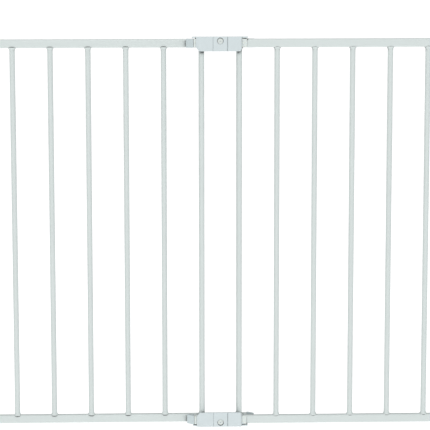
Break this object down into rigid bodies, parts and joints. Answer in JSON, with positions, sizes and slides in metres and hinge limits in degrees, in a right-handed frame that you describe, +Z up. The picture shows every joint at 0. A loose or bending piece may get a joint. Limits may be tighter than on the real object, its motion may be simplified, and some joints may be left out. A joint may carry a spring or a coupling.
{
  "type": "extending safety gate",
  "caption": "Extending metal safety gate: two barred panels that slide past each other in clamp brackets, with wall hinges and a bolt latch.",
  "frame": {"origin": "middle of the doorway in the gate's middle plane, at the height of the lowest edge of the wall brackets", "axes": "+X across the doorway from the hinge wall to the latch wall, +Z up, -Y the side the front panel is on and the gate opens to"},
  "size_m": [1.04, 0.052, 0.777],
  "materials": {
    "painted_steel": "fine satin powder coat, pale grey-green white",
    "white_plastic": "moulded, light satin, slightly bluer than the steel",
    "grey_plastic": "moulded, satin, a shade darker",
    "nylon": "natural nylon, smooth",
    "brass": "turned",
    "zinc_steel": "bright zinc plate"
  },
  "bodies": {
    "wall_fittings": {"hinge_bracket_top": "white_plastic", "hinge_bracket_bottom": "white_plastic", "hinge_pin_top": "zinc_steel", "hinge_pin_bottom": "zinc_steel", "hinge_washer_top": "nylon", "hinge_washer_bottom": "nylon", "keeper_top": "white_plastic", "keeper_bottom": "white_plastic"},
    "hinge_panel": {"rear_rail_top": "painted_steel", "rear_rail_bottom": "painted_steel", "rear_bar_1": "painted_steel", "rear_bar_2": "painted_steel", "rear_bar_3": "painted_steel", "rear_bar_4": "painted_steel", "rear_bar_5": "painted_steel", "rear_bar_6": "painted_steel", "rear_bar_7": "painted_steel", "rear_bar_8": "painted_steel", "rear_end_cap_top": "grey_plastic", "rear_end_cap_bottom": "grey_plastic", "bracket_housing_top": "white_plastic", "bracket_housing_bottom": "white_plastic", "bracket_cover_top": "white_plastic", "bracket_cover_bottom": "white_plastic", "rail_glide_top": "nylon", "rail_glide_bottom": "nylon", "clamp_nut_top": "brass", "clamp_nut_bottom": "brass", "bracket_rear_screws": "zinc_steel", "hinge_end_top": "white_plastic", "hinge_end_bottom": "white_plastic", "hinge_end_screws": "zinc_steel"},
    "latch_panel": {"front_rail_top": "painted_steel", "front_rail_bottom": "painted_steel", "front_bar_1": "painted_steel", "front_bar_2": "painted_steel", "front_bar_3": "painted_steel", "front_bar_4": "painted_steel", "front_bar_5": "painted_steel", "front_bar_6": "painted_steel", "front_bar_7": "painted_steel", "front_bar_8": "painted_steel", "front_end_cap_top": "grey_plastic", "front_end_cap_bottom": "grey_plastic", "latch_housing": "white_plastic", "lower_latch_end": "white_plastic", "lower_latch_nose": "zinc_steel", "latch_end_screws": "zinc_steel", "button_spring": "zinc_steel"},
    "bolt": {"latch_bolt": "zinc_steel", "latch_slide": "grey_plastic"},
    "button": {"latch_button": "grey_plastic"},
    "top_clamp_screw": {"clamp_screw_top": "nylon"},
    "bottom_clamp_screw": {"clamp_screw_bottom": "nylon"}
  },
  "joints": [
    {"name": "gate_swing", "type": "hinge", "parent": "wall_fittings", "child": "hinge_panel", "pos_m": [-0.503, 0.008, 0.3885], "axis": [0, 0, -1], "range_deg": [0, 90]},
    {"name": "width_adjust", "type": "slide", "parent": "hinge_panel", "child": "latch_panel", "axis": [-1, 0, 0], "range_m": [0, 0.4]},
    {"name": "latch_bolt_slide", "type": "slide", "parent": "latch_panel", "child": "bolt", "axis": [1, 0, 0], "range_m": [0, 0.01]},
    {"name": "safety_button", "type": "slide", "parent": "latch_panel", "child": "button", "axis": [0, 1, 0], "range_m": [0, 0.0025], "stiffness_N_per_m": 400, "springref_m": -0.002, "deforming": ["button_spring"]},
    {"name": "top_clamp_turn", "type": "hinge", "parent": "hinge_panel", "child": "top_clamp_screw", "pos_m": [-0.0007, -0.0183, 0.7465], "axis": [0, -1, 0], "range_deg": [0, 720]},
    {"name": "bottom_clamp_turn", "type": "hinge", "parent": "hinge_panel", "child": "bottom_clamp_screw", "pos_m": [-0.0007, -0.0183, 0.0305], "axis": [0, -1, 0], "range_deg": [0, 720]}
  ]
}
